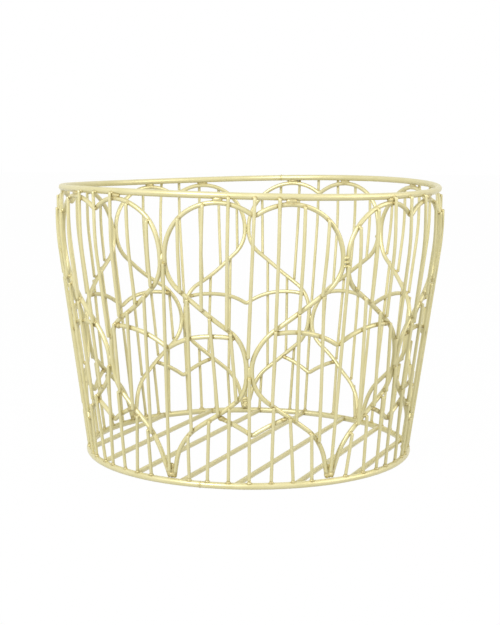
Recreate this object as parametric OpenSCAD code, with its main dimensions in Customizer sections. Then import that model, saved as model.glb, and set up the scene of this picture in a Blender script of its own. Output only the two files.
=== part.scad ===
// Round wire basket with a wall of hearts.
// Two hoops carry seven bent heart wires. Each heart wire stands on the base ring, meets its own
// other half at the waist, meets its neighbours at the shoulder and closes in two lobes under the
// top ring. Short arches make a middle and a lower row of hearts between the legs, upright bars
// fill every heart from outside, and straight wires cross the base ring. All are welded.
// The origin is at the centre of the base on the table, and one heart faces -Y.

/* [Basket] */
// Height from the table to the top of the top ring
basket_h = 217; // [190:1:250]
// Diameter of the top ring, between the centres of its wire
top_ring_d = 300; // [280:1:330]
// Diameter of the base ring, between the centres of its wire
base_ring_d = 260; // [240:1:280]
// Height at which the slanted wall would meet the upright one
shoulder_h = 179; // [170:1:190]
// Radius of the bend between the slanted and the upright wall
shoulder_bend_r = 200; // [120:5:300]

/* [Wires] */
// Thickness of the top ring
top_ring_wire = 5; // [4:0.1:6]
// Thickness of the base ring
base_ring_wire = 5; // [4:0.1:6]
// Thickness of the heart wires and the arches
heart_wire = 3.5; // [3:0.1:4]
// Thickness of the upright bars
bar_wire = 2.5; // [2:0.1:3]
// Thickness of the wires that cross the base
base_wire = 4; // [2.5:0.1:4.5]
// Clearance between two wires where a weld joins them
weld_gap = 0.1; // [0.05:0.05:0.3]
// Gap between the top ring and the lobes under it, which a thick weld fills
rim_gap = 0.8; // [0.1:0.1:1.2]

/* [Hearts] */
// Number of hearts round the basket
heart_count = 7; // [6:1:8]
// Radius of the lobes of a top heart
lobe_r = 40; // [36:0.5:42]
// Radius of the tight bend in each notch
notch_bend_r = 4; // [3:0.5:5]
// Height below which neighbouring heart wires part at the shoulder
shoulder_touch_h = 167; // [162:0.5:168]
// Radius of the bend below the shoulder
shoulder_swing_r = 25; // [20:0.5:28]
// Radius of the bend above the waist
waist_upper_r = 38; // [30:0.5:42]
// Height above which the two halves of a heart wire part at the waist
waist_top_h = 89; // [88:0.5:95]
// Height below which the two halves of a heart wire part at the waist
waist_low_h = 87; // [82:0.5:87.5]
// Radius of the bend below the waist
waist_lower_r = 27; // [22:0.5:30]
// Radius of the bend above the foot
foot_swing_r = 40; // [34:0.5:44]
// Height of the end of that bend, below which a leg runs straight to the base ring
foot_bend_h = 20; // [16:0.5:24]
// How far a leg leans over at its foot, where two neighbouring legs meet in a V
foot_lean = 16; // [0:1:18]

/* [Arches] */
// Height of the notch in a middle arch
middle_notch_h = 103; // [98:0.5:106]
// Radius of the two bows of a middle arch
middle_arch_r = 72; // [64:1:90]
// Distance of a middle bow's highest point from the notch
middle_arch_reach = 40; // [36:0.5:44]
// Height of the notch in a lower arch
lower_notch_h = 42; // [36:0.5:46]
// Radius of the two bows of a lower arch
lower_arch_r = 110; // [90:1:140]
// Distance of a lower bow's highest point from the notch
lower_arch_reach = 60; // [50:0.5:64]

/* [Bars] */
// Number of bars on each side of a heart's middle bar
side_bars = 3; // [2:1:3]
// Number of side bars, counted from the middle, that reach the top ring
ring_side_bars = 1; // [0:1:2]
// Distance from bar to bar, measured round the top ring
bar_spacing = 17.9; // [15:0.1:19]
// How far a bar's end stays short of the centre of the wire that it is welded to
bar_short = 0.8; // [0:0.1:1.2]
// Bevel on the ends of a bar
bar_bevel = 0.3; // [0.2:0.1:0.8]

/* [Base] */
// Direction of the base wires, turned from the line that runs from front to back
base_wire_turn = -24; // [-45:1:45]

/* [Hidden] */
// Distance of each base wire from the centre, in shares of the base ring's radius
base_wire_shares = [-0.855, -0.615, -0.315, 0, 0.315, 0.615, 0.855];

// Names of the pieces

// Facets of the round shapes in the preview, and sides of a swept wire
ring_facets = 120;
bar_facets = 20;
wire_sides = 8;

// Segments of each kind of bend in a swept wire, and of the straight between two bends
lobe_steps = 12;
notch_steps = 2;
swing_steps = 5;
bow_steps = 6;
straight_steps = 3;

// Steps of the search for the point where an arch meets a heart wire
search_steps = 14;

// How much thicker a bar's bend is than its rods, and how far the rods run into the bend
bend_extra = 0.02;
bend_socket = 1;

heart_pitch = 360 / heart_count;
top_ring_z = basket_h - top_ring_wire / 2;
base_ring_z = base_ring_wire / 2;

// The wall runs through the centres of the heart wires. It is flush with the outside of the top
// ring, and the bars outside it stand on the middle of the base ring.
bar_offset = (heart_wire + bar_wire) / 2 + weld_gap;
wall_top_r = (top_ring_d + top_ring_wire - heart_wire) / 2;
wall_base_r = base_ring_d / 2 - bar_offset;
wall_slope = atan((wall_top_r - wall_base_r) / (shoulder_h - base_ring_z));
upright_h = shoulder_h + shoulder_bend_r * tan(wall_slope / 2);
slant_h = upright_h - shoulder_bend_r * sin(wall_slope);

// Radius of the wall at height z
function wall_r(z) =
    z >= upright_h ? wall_top_r :
    z <= slant_h ? wall_base_r + (z - base_ring_z) * tan(wall_slope) :
    wall_top_r - shoulder_bend_r + sqrt(pow(shoulder_bend_r, 2) - pow(upright_h - z, 2));

// A wire's course is drawn on the unrolled wall: x runs round the basket from the middle of its
// heart, measured at the top ring, and y is the height.
half_heart = wall_top_r * PI / heart_count;

// Half of the distance between two wires that touch side by side at height z
function touch_x(z) = (heart_wire + weld_gap) / 2 * wall_top_r / wall_r(z);

shoulder_x = half_heart - touch_x(shoulder_touch_h);
foot_x = half_heart - touch_x(base_ring_wire);
lobe_x = shoulder_x - lobe_r;
lobe_z = top_ring_z - (top_ring_wire + heart_wire) / 2 - rim_gap - lobe_r;

// Height of a bend's centre above the centre of the bow that it joins, where the notch lies at
// distance reach from the bow's highest point
function notch_rise(bow_r, reach) = sqrt(pow(bow_r + notch_bend_r, 2) - pow(reach, 2));

// Points on an arc about c, from angle a to angle b
function arc_points(c, r, a, b, steps) =
    [for (i = [0:steps]) c + r * [cos(a + (b - a) * i / steps), sin(a + (b - a) * i / steps)]];

// Points between a and b, without the ends
function between(a, b, steps) = [for (i = [1:1:steps - 1]) a + (b - a) * i / steps];

// A swing from an upright wire at a down to b, where it leans over by the angle lean: two bends
// and a straight. At the point plumb the lower bend would be upright.
function swing_turn(a, b, ra, rb) =
    let (
        run = abs(a.x - b.x) - ra - rb,
        drop = a.y - b.y,
        straight = sqrt(max(0, run * run + drop * drop - pow(ra + rb, 2)))
    )
    atan2(run, drop) + atan2(ra + rb, straight);

function swing(a, b, ra, rb, lean = 0) =
    let (
        side = sign(a.x - b.x),
        plumb = b + rb * [side * (cos(lean) - 1), -sin(lean)],
        turn = swing_turn(a, plumb, ra, rb),
        upper = [for (p = arc_points([-ra, 0], ra, 0, -turn, swing_steps)) a + [side * p.x, p.y]],
        lower = [for (p = arc_points([rb, 0], rb, 180 - turn, 180 - lean, swing_steps))
            plumb + [side * p.x, p.y]]
    )
    concat(upper, between(upper[swing_steps], lower[0], straight_steps), lower);

upper_swing = swing([shoulder_x, shoulder_touch_h], [touch_x(waist_top_h), waist_top_h],
    shoulder_swing_r, waist_upper_r);

// The bars and the legs stand on top of the base ring, a leg on the lower corner of its end
bar_foot_z = base_ring_wire + weld_gap;
foot_z = bar_foot_z + heart_wire / 2 * sin(foot_lean);
foot_bend_x = foot_x - (foot_bend_h - foot_z) * tan(foot_lean);
lower_swing = concat(
    swing([touch_x(waist_low_h), waist_low_h], [foot_bend_x, foot_bend_h],
        waist_lower_r, foot_swing_r, foot_lean),
    [[foot_x, foot_z]]
);

// One side of a notch and the bow beside it, from the notch to the angle last on the bow
function notch_and_bow(bow_c, bow_r, last, steps) =
    let (
        rise = notch_rise(bow_r, bow_c.x),
        bend_c = [0, bow_c.y + rise],
        meet = atan2(rise, -bow_c.x)
    )
    concat(
        arc_points(bend_c, notch_bend_r, -90, meet - 180, notch_steps),
        [for (i = [1:steps]) bow_c + bow_r * [cos(meet + (last - meet) * i / steps),
            sin(meet + (last - meet) * i / steps)]]
    );

heart_half = concat(
    notch_and_bow([lobe_x, lobe_z], lobe_r, 0, lobe_steps),
    upper_swing,
    lower_swing
);

// Both halves of a course, from one end through the notch to the other end
function both_halves(half) =
    concat([for (i = [len(half) - 1:-1:1]) [-half[i].x, half[i].y]], half);

// Distance from point p to the stretch from a to b, and to a whole course
function stretch_distance(p, a, b) =
    let (
        run = b - a,
        share = max(0, min(1, ((p - a) * run) / (run * run)))
    )
    norm(p - a - share * run);
function course_distance(p, course) =
    min([for (i = [0:len(course) - 2]) stretch_distance(p, course[i], course[i + 1])]);

// An arch ends where the corners of its end face reach the side of the heart wire
function bow_point(bow_c, bow_r, angle, across) = bow_c + (bow_r + across) * [cos(angle), sin(angle)];
function bow_clear(bow_c, bow_r, angle, course) =
    min([for (across = [-heart_wire / 2, heart_wire / 2])
        course_distance(bow_point(bow_c, bow_r, angle, across), course)]) > heart_wire / 2 + weld_gap;
function bow_below(bow_c, bow_r, angle, course) =
    let (p = bow_point(bow_c, bow_r, angle, 0)) lookup(p.x, course) > p.y;
function bow_crossing(bow_c, bow_r, a, b, course, steps) =
    let (mid = (a + b) / 2)
    steps == 0 ? mid :
    bow_below(bow_c, bow_r, mid, course) ? bow_crossing(bow_c, bow_r, mid, b, course, steps - 1) :
    bow_crossing(bow_c, bow_r, a, mid, course, steps - 1);
function bow_end(bow_c, bow_r, a, b, course, steps) =
    let (mid = (a + b) / 2)
    steps == 0 ? a :
    bow_clear(bow_c, bow_r, mid, course) ? bow_end(bow_c, bow_r, mid, b, course, steps - 1) :
    bow_end(bow_c, bow_r, a, mid, course, steps - 1);

function arch_half(notch_h, bow_r, reach, course) =
    let (
        rise = notch_rise(bow_r, reach),
        bow_c = [reach, notch_h + notch_bend_r - rise],
        first = atan2(rise, -reach),
        crossing = bow_crossing(bow_c, bow_r, first, 0, course, search_steps)
    )
    notch_and_bow(bow_c, bow_r, bow_end(bow_c, bow_r, first, crossing, course, search_steps), bow_steps);

// The middle arches stand between two hearts, so their heart wire is seen from its other side
middle_arch_course = [for (p = upper_swing) [half_heart - p.x, p.y]];
middle_arch_half = arch_half(middle_notch_h, middle_arch_r, middle_arch_reach, middle_arch_course);
lower_arch_half = arch_half(lower_notch_h, lower_arch_r, lower_arch_reach, lower_swing);

// From the unrolled wall to the basket: angle 0 is at -Y and grows towards +X
function on_wall(p) =
    let (angle = p.x / wall_top_r * 180 / PI)
    [wall_r(p.y) * sin(angle), -wall_r(p.y) * cos(angle), p.y];
function unit(v) = v / norm(v);

// Outward direction of the wall at a point, made square to the direction of the wire
function outward(p, along) =
    let (out = [p.x, p.y, 0])
    unit(out - (out * along) * along);

// A wire swept along its course on the wall, with flat sides at the wire's true thickness
module swept_wire(course) {
    path = [for (p = course) on_wall(p)];
    last = len(path) - 1;
    corner_r = heart_wire / 2 / cos(180 / wire_sides);
    rings = [for (i = [0:last])
        let (
            along = unit(path[min(i + 1, last)] - path[max(i - 1, 0)]),
            out = outward(path[i], along),
            side = cross(along, out)
        )
        for (k = [0:wire_sides - 1])
            let (angle = (k + 0.5) * 360 / wire_sides)
            path[i] + corner_r * (cos(angle) * out + sin(angle) * side)];
    walls = [for (i = [0:last - 1])
        for (k = [0:wire_sides - 1])
            let (
                a = i * wire_sides + k,
                b = i * wire_sides + (k + 1) % wire_sides
            )
            each [[a, b, a + wire_sides], [b, b + wire_sides, a + wire_sides]]];
    caps = [for (k = [1:wire_sides - 2])
        let (first = last * wire_sides)
        each [[0, k + 1, k], [first, first + k, first + k + 1]]];
    polyhedron(points = rings, faces = concat(walls, caps), convexity = 10);
}

module hoop(ring_d, wire, z) {
    translate([0, 0, z])
        rotate_extrude($fn = ring_facets)
            translate([ring_d / 2, 0])
                circle(d = wire, $fn = bar_facets);
}

// A straight round rod on the Z axis between two heights, with bevelled ends
module rod(low, high) {
    rotate_extrude($fn = bar_facets)
        polygon([
            [0, low],
            [bar_wire / 2 - bar_bevel, low],
            [bar_wire / 2, low + bar_bevel],
            [bar_wire / 2, high - bar_bevel],
            [bar_wire / 2 - bar_bevel, high],
            [0, high]
        ]);
}

// The bars follow the wall from outside
bar_bend_r = shoulder_bend_r + bar_offset;
bar_bend_low_h = upright_h - bar_bend_r * sin(wall_slope);

// A bar at angle turn round the basket, from height low to height high. The bend is a hair
// thicker than the rods, which run a little way into its two ends.
module bar(turn, low, high) {
    bends = high > upright_h;
    rotate([0, 0, turn - 90])
        translate([wall_top_r - shoulder_bend_r, 0, upright_h]) {
            rotate([0, wall_slope, 0])
                translate([bar_bend_r, 0, 0])
                    rod((low - bar_bend_low_h) / cos(wall_slope),
                        bends ? bend_socket : (high - bar_bend_low_h) / cos(wall_slope));
            if (bends) {
                rotate([90, 0, 0])
                    rotate([0, 0, -wall_slope])
                        rotate_extrude(angle = wall_slope, $fn = ring_facets)
                            translate([bar_bend_r, 0])
                                circle(d = bar_wire + bend_extra, $fn = bar_facets);
                translate([bar_bend_r, 0, 0])
                    rod(-bend_socket, high - upright_h);
            }
        }
}

// Where two legs are a bar's thickness apart, and the middle bar between them ends: above the
// waist and above the foot
waist_fork_x = touch_x(waist_top_h) + bar_wire / 2;
foot_fork_x = foot_x - bar_wire / 2;

// Angle round the basket of a bar that lies x from the middle of its heart
function bar_turn(x) = x / wall_top_r * 180 / PI;
function lobe_height(x) = lobe_z + sqrt(pow(lobe_r, 2) - pow(x - lobe_x, 2));

module top_ring() {
    color([0.84, 0.81, 0.63])
        hoop(top_ring_d, top_ring_wire, top_ring_z);
}

module base_ring() {
    color([0.80, 0.77, 0.58])
        hoop(base_ring_d, base_ring_wire, base_ring_z);
}

module heart(i) {
    color([0.84, 0.80, 0.60])
        rotate([0, 0, (i - 1) * heart_pitch])
            swept_wire(both_halves(heart_half));
}

module middle_arch(i) {
    color([0.82, 0.78, 0.58])
        rotate([0, 0, (i - 0.5) * heart_pitch])
            swept_wire(both_halves(middle_arch_half));
}

module lower_arch(i) {
    color([0.82, 0.78, 0.58])
        rotate([0, 0, (i - 1) * heart_pitch])
            swept_wire(both_halves(lower_arch_half));
}

// The bars of a top heart run from the top ring or the lobes to the legs above the waist
module upper_bars(i) {
    color([0.88, 0.85, 0.68])
        for (k = [-side_bars:side_bars]) {
            x = abs(k) * bar_spacing;
            low = lookup(max(x, waist_fork_x), upper_swing) + bar_short;
            high = abs(k) <= ring_side_bars ? top_ring_z : lobe_height(x) - bar_short;
            bar((i - 1) * heart_pitch + bar_turn(k * bar_spacing), low, high);
        }
}

// The bars of a middle heart run from the legs below the shoulder to the legs above the foot
module middle_bars(i) {
    color([0.88, 0.85, 0.68])
        for (k = [-side_bars:side_bars]) {
            x = half_heart - abs(k) * bar_spacing;
            low = lookup(min(x, foot_fork_x), lower_swing) + bar_short;
            high = k == 0 ? shoulder_touch_h - heart_wire / 2 : lookup(x, upper_swing) - bar_short;
            bar((i - 0.5) * heart_pitch + bar_turn(k * bar_spacing), low, high);
        }
}

// The bars of a lower heart run from the legs below the waist to the base ring
module lower_bars(i) {
    color([0.88, 0.85, 0.68])
        for (k = [-side_bars:side_bars]) {
            x = abs(k) * bar_spacing;
            high = k == 0 ? waist_low_h - heart_wire : lookup(x, lower_swing) - bar_short;
            bar((i - 1) * heart_pitch + bar_turn(k * bar_spacing), bar_foot_z, high);
        }
}

// A straight wire across the base, its ends shaped to the inside of the base ring
module base_wire(i) {
    place = base_wire_shares[i - 1] * base_ring_d / 2;
    half = sqrt(pow(base_ring_d / 2, 2) - pow(place, 2));
    color([0.76, 0.73, 0.55])
        difference() {
            rotate([0, 0, base_wire_turn])
                translate([place, 0, base_ring_z])
                    rotate([90, 0, 0])
                        cylinder(h = 2 * half, d = base_wire, center = true, $fn = bar_facets);
            hoop(base_ring_d, base_ring_wire + 2 * weld_gap, base_ring_z);
        }
}

top_ring();
base_ring();
for (i = [1:heart_count]) {
    heart(i);
    middle_arch(i);
    lower_arch(i);
    upper_bars(i);
    middle_bars(i);
    lower_bars(i);
}
for (i = [1:len(base_wire_shares)])
    base_wire(i);
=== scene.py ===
"""Looks of a round wire basket with a wall of hearts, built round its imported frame.

Every wire of the frame is drawn again as a smooth round wire along the same course, with the ends
that a wire cutter and paint leave, the welds that hold the wires, and one satin pale gold paint.
"""

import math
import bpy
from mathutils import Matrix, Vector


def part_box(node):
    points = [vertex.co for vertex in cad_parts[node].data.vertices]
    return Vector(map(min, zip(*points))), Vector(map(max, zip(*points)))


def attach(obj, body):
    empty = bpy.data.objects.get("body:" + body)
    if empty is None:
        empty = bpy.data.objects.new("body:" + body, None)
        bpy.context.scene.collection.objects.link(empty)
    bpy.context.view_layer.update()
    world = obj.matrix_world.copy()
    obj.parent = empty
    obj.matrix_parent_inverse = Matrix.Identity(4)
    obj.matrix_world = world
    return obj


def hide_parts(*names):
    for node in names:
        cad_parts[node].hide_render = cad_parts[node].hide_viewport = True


bl_info = {
    "name": "Wire basket with hearts",
    "version": (1, 0, 0),
    "blender": (4, 5, 0),
    "location": "3D View > Sidebar > Basket",
    "description": "Draws the wires, welds and paint of a round wire basket",
    "category": "Object",
}

import bmesh
import bpy
from bpy.props import FloatProperty, FloatVectorProperty, IntProperty, PointerProperty
from mathutils import Matrix, Vector, kdtree, noise

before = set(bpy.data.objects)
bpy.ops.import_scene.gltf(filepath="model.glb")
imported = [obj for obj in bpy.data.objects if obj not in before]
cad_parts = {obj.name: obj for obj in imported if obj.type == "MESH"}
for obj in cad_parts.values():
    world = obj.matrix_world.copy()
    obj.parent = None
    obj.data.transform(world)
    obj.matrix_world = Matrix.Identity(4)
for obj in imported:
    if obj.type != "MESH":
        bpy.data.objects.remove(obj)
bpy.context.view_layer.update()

# What the frame tells of the two rings, the base wires and the number of hearts
rim_low, rim_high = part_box("top_ring")
foot_low, foot_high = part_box("base_ring")
cross_low, cross_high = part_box("base_wire_4")
RIM_WIRE = rim_high.z - rim_low.z
RIM_R = rim_high.x - RIM_WIRE / 2
RIM_Z = (rim_low.z + rim_high.z) / 2
FOOT_WIRE = foot_high.z - foot_low.z
FOOT_R = foot_high.x - FOOT_WIRE / 2
FOOT_Z = (foot_low.z + foot_high.z) / 2
BASE_WIRE = cross_high.z - cross_low.z
HEARTS = sum(name.startswith("heart_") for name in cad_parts)
BASE_WIRES = sum(name.startswith("base_wire_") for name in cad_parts)
HEART_PITCH = 2 * math.pi / HEARTS


# Sizes that a user would change

def short_form(kind, **fixed):
    """A short way to write one kind of property."""
    def make(name, description, default, **limits):
        return kind(name=name, description=description, default=default, **fixed, **limits)
    return make


measure = short_form(FloatProperty, unit="LENGTH")
measures = short_form(FloatVectorProperty, unit="LENGTH")
rotation = short_form(FloatProperty, unit="ROTATION")
watts = short_form(FloatProperty, unit="POWER")
fraction = short_form(FloatProperty, subtype="FACTOR", min=0.0, max=1.0)
factor = short_form(FloatProperty)
factors = short_form(FloatVectorProperty)
whole = short_form(IntProperty)
colour = short_form(FloatVectorProperty, subtype="COLOR", min=0.0, max=1.0)


class WireSizes(bpy.types.PropertyGroup):
    """Thickness of the wires and how finely they are drawn"""

    heart_wire: measure(
        "Heart wire", "Thickness of the heart wires and arches", 0.0035, min=0.002, max=0.006)
    bar_wire: measure("Bar wire", "Thickness of the upright bars", 0.0025, min=0.001, max=0.004)
    weld_gap: measure(
        "Weld gap", "Clearance between two wires where a weld joins them", 0.0001, min=0.0, max=0.001)
    sides: whole("Sides", "Sides of a drawn wire", 16, min=8, max=32)


class WallSizes(bpy.types.PropertyGroup):
    """Shape of the wall that the wires follow"""

    shoulder_h: measure("Shoulder height", "Height at which the slanted wall meets the upright one", 0.179)
    shoulder_bend_r: measure("Shoulder bend", "Radius of the bend at the shoulder", 0.200)


class HeartSizes(bpy.types.PropertyGroup):
    """Course of a heart wire and of the arches"""

    lobe_r: measure("Lobe radius", "Radius of the lobes of a top heart", 0.040)
    notch_bend_r: measure("Notch radius", "Radius of the tight bend in a notch", 0.004)
    shoulder_touch_h: measure("Shoulder touch", "Height below which neighbouring heart wires part", 0.167)
    shoulder_swing_r: measure("Shoulder swing", "Radius of the bend below the shoulder", 0.025)
    waist_upper_r: measure("Upper waist bend", "Radius of the bend above the waist", 0.038)
    waist_top_h: measure("Waist top", "Height above which a heart wire's halves part at the waist", 0.089)
    waist_low_h: measure(
        "Waist low end", "Height below which a heart wire's halves part at the waist", 0.087)
    waist_lower_r: measure("Lower waist bend", "Radius of the bend below the waist", 0.027)
    foot_swing_r: measure("Foot bend", "Radius of the bend above the foot", 0.040)
    foot_bend_h: measure("Foot bend end", "Height below which a leg runs straight to the base ring", 0.020)
    foot_lean: rotation("Foot lean", "How far a leg leans over at its foot", math.radians(16))
    middle_notch_h: measure("Middle notch", "Height of the notch in a middle arch", 0.103)
    middle_arch_r: measure("Middle bow radius", "Radius of the two bows of a middle arch", 0.072)
    middle_reach: measure("Middle reach", "Distance of a middle bow's highest point from its notch", 0.040)
    lower_notch_h: measure("Lower notch", "Height of the notch in a lower arch", 0.042)
    lower_arch_r: measure("Lower bow radius", "Radius of the two bows of a lower arch", 0.110)
    lower_reach: measure("Lower reach", "Distance of a lower bow's highest point from its notch", 0.060)
    rim_gap: measure("Rim gap", "Gap between a lobe and the top ring, filled by the rim weld", 0.0008)


class BarSizes(bpy.types.PropertyGroup):
    """Places of the upright bars and the base wires"""

    side_bars: whole("Side bars", "Bars on each side of a heart's middle bar", 3)
    ring_side_bars: whole("Side bars to the ring", "Side bars that reach the top ring", 1)
    bar_spacing: measure("Bar spacing", "Distance from bar to bar, measured round the top ring", 0.0179)
    bar_short: measure("Bar end", "How far a bar's end stays short of the centre of its wire", 0.0008)


class HandSizes(bpy.types.PropertyGroup):
    """How far the hand-made basket strays from its even plan"""

    wander: measure("Wander", "How far the wires of the wall wander from their plan", 0.0007)
    wander_scale: factor("Wander scale", "How many times per metre the wander changes", 15.0)
    bar_stray: measure("Bar stray", "How far the ends of a bar stand from their even place", 0.0018)
    rim_warp: measure("Rim warp", "How far the top ring rises and falls, twice round the basket", 0.0018)
    rim_tilt: measure(
        "Rim tilt", "How much higher the top ring is at the right, and lower at the left", 0.0009)
    rim_warp_depth: measure("Rim warp depth", "How far below the rim its warp reaches", 0.090)
    seed: whole("Seed", "Number that picks one hand-made basket out of many like it", 4, min=1)


class WeldSizes(bpy.types.PropertyGroup):
    """Sizes of the weld beads, as length, height and depth"""

    rim_weld: measures("Rim weld", "Weld between a lobe and the top ring", (0.0088, 0.0042, 0.0036))
    shoulder_weld: measures(
        "Shoulder weld", "Long bead in the valley between two heart wires", (0.0034, 0.0100, 0.0030))
    shoulder_ridge: measures(
        "Shoulder ridge", "Bead of a shoulder weld that is made of several", (0.0046, 0.0023, 0.0036))
    shoulder_run: measure("Shoulder run", "Height of a whole shoulder weld", 0.0095)
    waist_weld: measures(
        "Waist weld", "Weld between the two halves of a heart wire at the waist", (0.0036, 0.0080, 0.0030))
    foot_weld: measures(
        "Foot weld", "Weld between two heart wires' feet on the base ring", (0.0075, 0.0042, 0.0050))
    fork_weld: measures(
        "Fork weld", "Bead between two legs above a foot, as wide as the fork there",
        (0.0034, 0.0042, 0.0030))
    fork_run: measure("Fork run", "Height to which the fork above a foot is filled", 0.0090)
    arch_weld: measures("Arch weld", "Weld between an arch's end and a heart wire", (0.0044, 0.0038, 0.0038))
    bar_end_weld: measures(
        "Bar end weld", "Weld between a bar's end and a heart wire", (0.0029, 0.0029, 0.0031))
    bar_foot_weld: measures(
        "Bar foot weld", "Weld round a bar's foot on the base ring", (0.0040, 0.0024, 0.0036))
    cross_weld: measures(
        "Crossing weld", "Weld between a bar and the wire behind it", (0.0029, 0.0026, 0.0019))
    base_weld: measures(
        "Base weld", "Weld round a base wire's end on the base ring", (0.0042, 0.0037, 0.0038))
    ring_weld: factors(
        "Ring weld", "Weld that closes a ring, in thicknesses of its wire", (0.45, 1.08, 1.08))
    unevenness: fraction("Unevenness", "Share of a bead's size by which its surface is lumpy", 0.18)


class PaintLook(bpy.types.PropertyGroup):
    """Colours and gloss of the paint"""

    paint: colour("Paint", "Colour of the satin gold paint", (0.68, 0.62, 0.29))
    pale_paint: colour("Pale paint", "Colour where the paint lies thick and pale", (0.80, 0.74, 0.46))
    # The burnt paint is partly real weld burn and partly painted shade in the corners beside the welds
    burnt_and_shaded_paint: colour("Burnt paint", "Colour in the corners beside the welds", (0.36, 0.26, 0.06))
    metallic: fraction("Metallic", "Share of metal flake in the paint", 0.35)
    roughness: fraction("Roughness", "Roughness of the paint", 0.36)
    # The dark ring round each bead is partly weld burn and partly painted shade where the bead meets its
    # wires
    burn_and_shade_ring: factor("Burn ring", "Where the darkest ring round a bead is, in shares of the bead", 1.2)
    burn_and_shade_width: factor("Burn width", "How far the dark ring round a bead fades, in shares of the bead", 0.6)


class StageLook(bpy.types.PropertyGroup):
    """Camera and light"""

    camera_place: measures("Camera", "Place of the camera", (-0.0214, -1.0661, 0.2646))
    camera_turn: rotation("Turn", "Turn of the camera to the right", -0.02007)
    camera_pitch: rotation("Pitch", "How far the camera looks down", 0.1422)
    camera_roll: rotation("Roll", "Roll of the camera", 0.0069)
    lens: factor("Lens", "Focal length, in millimetres", 76.16, unit="CAMERA")
    shift_x: factor("Shift", "Sideways shift of the picture", 0.00098)
    ambient: factor("Ambient", "Strength of the light from all round", 0.42)
    key_place: measures("Key place", "Place of the large lamp at the upper left", (-1.0, -1.6, 1.3))
    key_size: measure("Key size", "Side of the large lamp", 0.9)
    key_power: watts("Key power", "Power of the large lamp", 34.0)
    fill_place: measures("Fill place", "Place of the lamp at the right", (1.6, -0.6, 0.9))
    fill_size: measure("Fill size", "Side of the lamp at the right", 1.2)
    fill_power: watts("Fill power", "Power of the lamp at the right", 13.0)
    fill_tint: colour("Fill tint", "Colour of the lamp at the right", (1.0, 0.95, 0.82))
    floor_half: measure("Floor", "Half the width of the floor", 6.0)
    floor_drop: measure("Floor drop", "How far the floor lies below the base ring", 0.0004)
    floor_glow: fraction(
        "Floor white", "Share of plain white in the floor, the rest takes the shadow", 0.985)


GROUPS = {
    "basket_wires": WireSizes,
    "basket_wall": WallSizes,
    "basket_hearts": HeartSizes,
    "basket_bars": BarSizes,
    "basket_hand": HandSizes,
    "basket_welds": WeldSizes,
    "basket_paint": PaintLook,
    "basket_stage": StageLook,
}


# Shape of the wall

MILLIMETRE = 0.001

# Places where the hand-made wall is off its even plan: angle round the basket in degrees, height,
# how far the wires are pushed to the right and upwards, and how far that reaches, in millimetres
PUSHES = (
    (-26, 5, -3.5, 0.5, 40), (26, 5, 3, 0.5, 45), (-17, 45, -1, 1.5, 20),
    (17, 45, 0.5, 1, 20), (34, 30, 3, 0, 16), (-31, 28, -3.5, 0, 18),
    (-38, 105, 3, 0, 15), (51, 198, 0, -3, 10), (0, 90, -3, 0, 25),
    (-11, 125, -0.5, -1.5, 25), (0, 205, 0, 1, 30), (30, 165, 3, 0, 10),
    (50, 205, -2.5, -1.5, 20), (-51, 205, 4, 1, 20), (-31, 195, 1, 1, 20),
    (-36, 135, 1.5, -2, 20), (-50, 90, 6, 0.5, 30), (154, 80, 2.5, 0, 25),
    (166, 135, 0, -1.5, 20), (138, 40, 2, -1.5, 20), (127, 180, 2, 0, 15),
    (-154, 90, -3, 0, 25), (-167, 130, -1.5, -3, 25), (-141, 135, 1, -1.5, 20),
)

# How many millimetres an arch sits above its even place, and its slope up to the right
ARCH_STRAYS = {
    "middle_arch_1": (4, 0.02), "middle_arch_2": (-1, 0.06),
    "middle_arch_3": (4, -0.06), "middle_arch_4": (-2.5, -0.02),
    "middle_arch_5": (2.5, 0.06), "middle_arch_7": (2, -0.02),
    "lower_arch_1": (-1, -0.02), "lower_arch_2": (1.5, 0.02),
    "lower_arch_4": (-2, 0.0), "lower_arch_5": (-4, 0.02),
}

# How far from the two rings the wires of the wall are held by them
END_EASE = 0.020


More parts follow.
